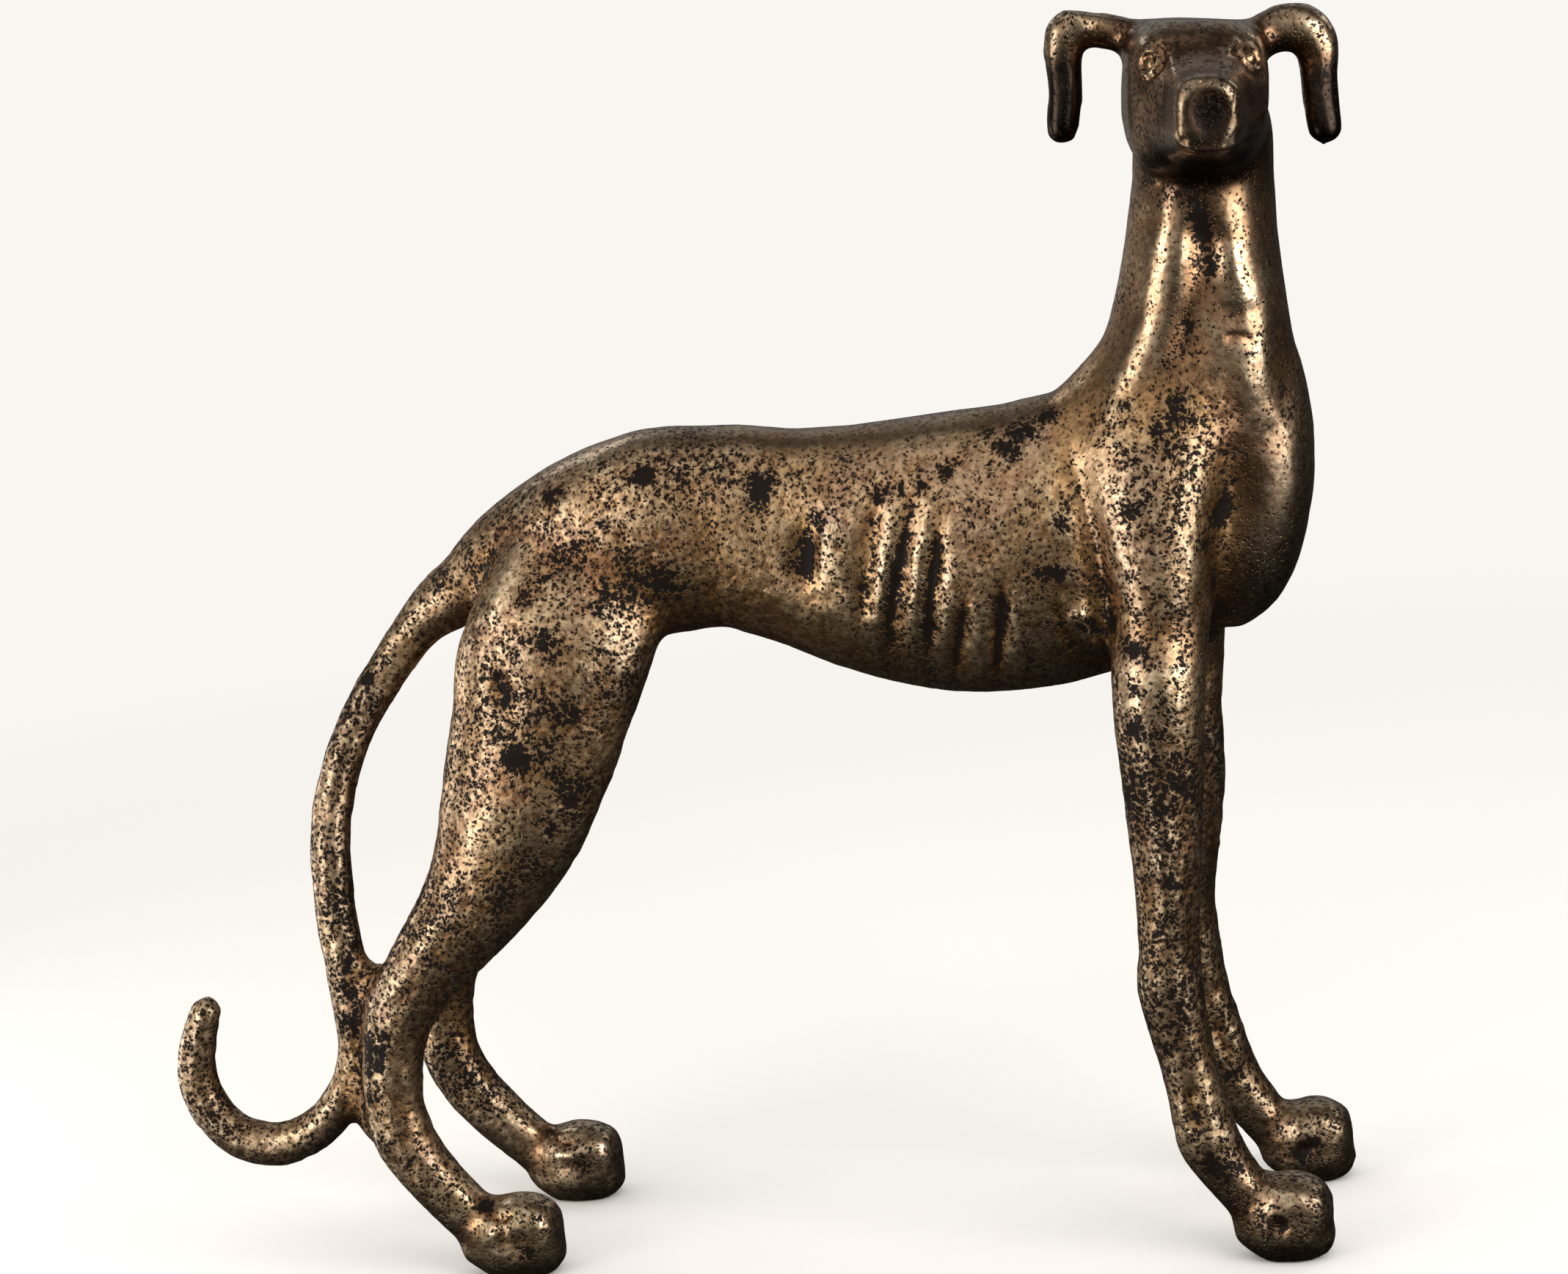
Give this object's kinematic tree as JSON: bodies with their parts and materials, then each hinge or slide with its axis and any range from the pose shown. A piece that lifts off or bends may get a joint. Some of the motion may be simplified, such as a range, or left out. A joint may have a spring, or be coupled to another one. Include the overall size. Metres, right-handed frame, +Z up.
{
  "type": "greyhound sculpture",
  "caption": "Tabletop cast-metal greyhound with an aged bronze finish, standing with its head turned aside and its tail curled up behind a hock; a decorative ornament.",
  "frame": {"origin": "on the floor, at the middle of the casting's bounding box", "axes": "+Z up, +X the way the dog's body faces, +Y to the dog's left; its head is turned towards -Y"},
  "size_m": [0.3014, 0.0868, 0.2893],
  "materials": {
    "aged_bronze": "sand-cast metal in a worn bronze finish, brown with golden rubbed highs and near-black pits and hollows"
  },
  "bodies": {
    "root": {"greyhound": "aged_bronze"}
  },
  "joints": []
}
